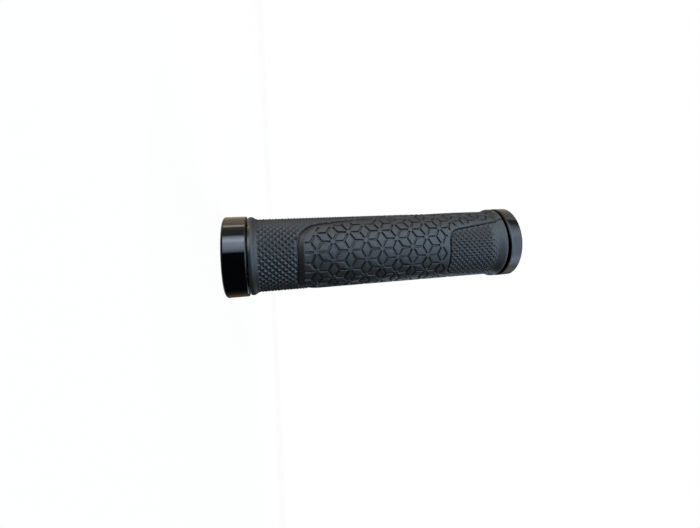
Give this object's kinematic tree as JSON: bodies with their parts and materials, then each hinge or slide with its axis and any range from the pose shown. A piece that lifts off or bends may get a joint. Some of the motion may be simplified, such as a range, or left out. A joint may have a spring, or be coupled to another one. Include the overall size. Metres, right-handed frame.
{
  "type": "handlebar grip",
  "caption": "Lock-on bicycle handlebar grip: a star-grooved and knurled rubber sleeve between two black split clamp rings.",
  "frame": {"origin": "centre of the wide clamp ring's outer face, on the grip's axis; the grip stands on that face", "axes": "+Z along the grip's axis from the wide ring to the narrow ring; -Y towards the side that the picture shows"},
  "size_m": [0.033, 0.033, 0.13],
  "materials": {
    "rubber": "matte",
    "core_plastic": "matte",
    "anodised_ring": "gloss",
    "bolt_steel": "satin"
  },
  "bodies": {
    "root": {"rubber_sleeve": "rubber", "core_tube": "core_plastic", "wide_clamp_ring": "anodised_ring", "narrow_clamp_ring": "anodised_ring", "wide_ring_bolt": "bolt_steel", "narrow_ring_bolt": "bolt_steel"}
  },
  "joints": []
}
